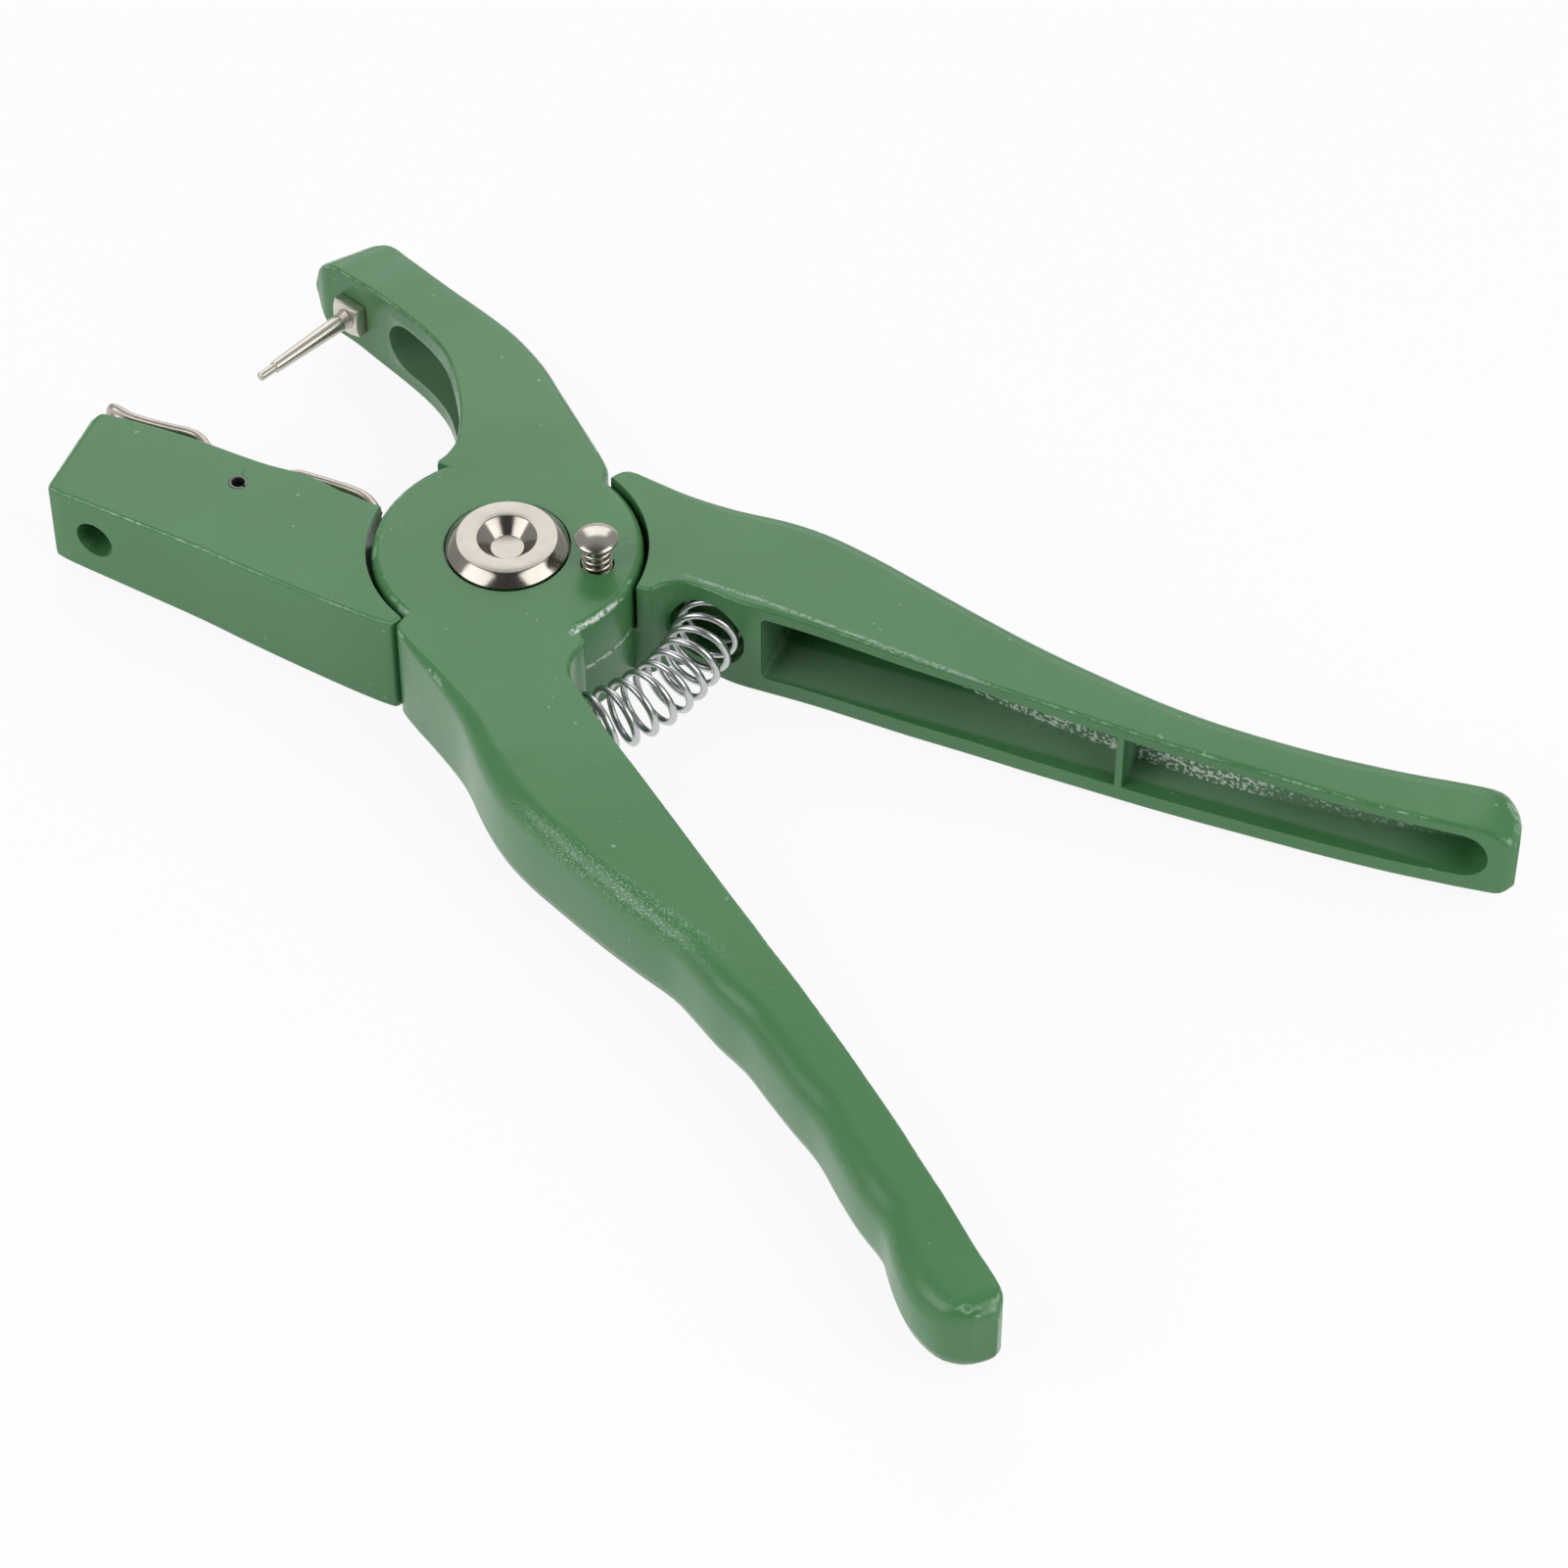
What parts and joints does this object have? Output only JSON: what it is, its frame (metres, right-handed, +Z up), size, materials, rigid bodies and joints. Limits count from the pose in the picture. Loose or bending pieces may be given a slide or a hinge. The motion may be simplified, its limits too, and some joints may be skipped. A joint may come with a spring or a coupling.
{
  "type": "ear tag applicator",
  "caption": "Plier-shaped hand tool with a needle jaw and a clip jaw that pushes a two-part livestock ear tag through the ear; spring-opened, with a lock button.",
  "frame": {"origin": "on the pivot axis, at the flat underside of the hub", "axes": "+X along the tool towards the handles, +Y towards the needle jaw's side, +Z up along the pivot towards its bevelled head"},
  "size_m": [0.2422, 0.1393, 0.0269],
  "materials": {
    "green_enamel": "satin green enamel with fine orange peel on die-cast light alloy",
    "nickel": "turned steel with satin nickel plate",
    "zinc_wire": "bright zinc-plated spring wire",
    "spring_wire": "dull drawn spring wire",
    "dark_steel": "blackened rolled steel pin"
  },
  "bodies": {
    "clip_body": {"clip_half": "green_enamel", "pivot_pin": "nickel", "pivot_nut": "nickel", "tag_clip": "spring_wire", "clip_pin": "dark_steel", "main_spring": "zinc_wire"},
    "needle_body": {"needle_half": "green_enamel", "needle": "nickel", "needle_nut": "nickel", "lock_spring": "zinc_wire"},
    "lock_body": {"lock_pin": "nickel", "lock_ring": "nickel"}
  },
  "joints": [
    {"name": "squeeze", "type": "hinge", "parent": "clip_body", "child": "needle_body", "pos_m": [0, 0, 0.01], "axis": [0, 0, 1], "range_deg": [0, 33], "stiffness_Nm_per_rad": 2, "springref_deg": -16.62, "deforming": ["main_spring"]},
    {"name": "lock_button", "type": "slide", "parent": "needle_body", "child": "lock_body", "axis": [0, 0, -1], "range_m": [0, 0.0045], "stiffness_N_per_m": 900, "springref_m": -0.0012, "deforming": ["lock_spring"]}
  ]
}
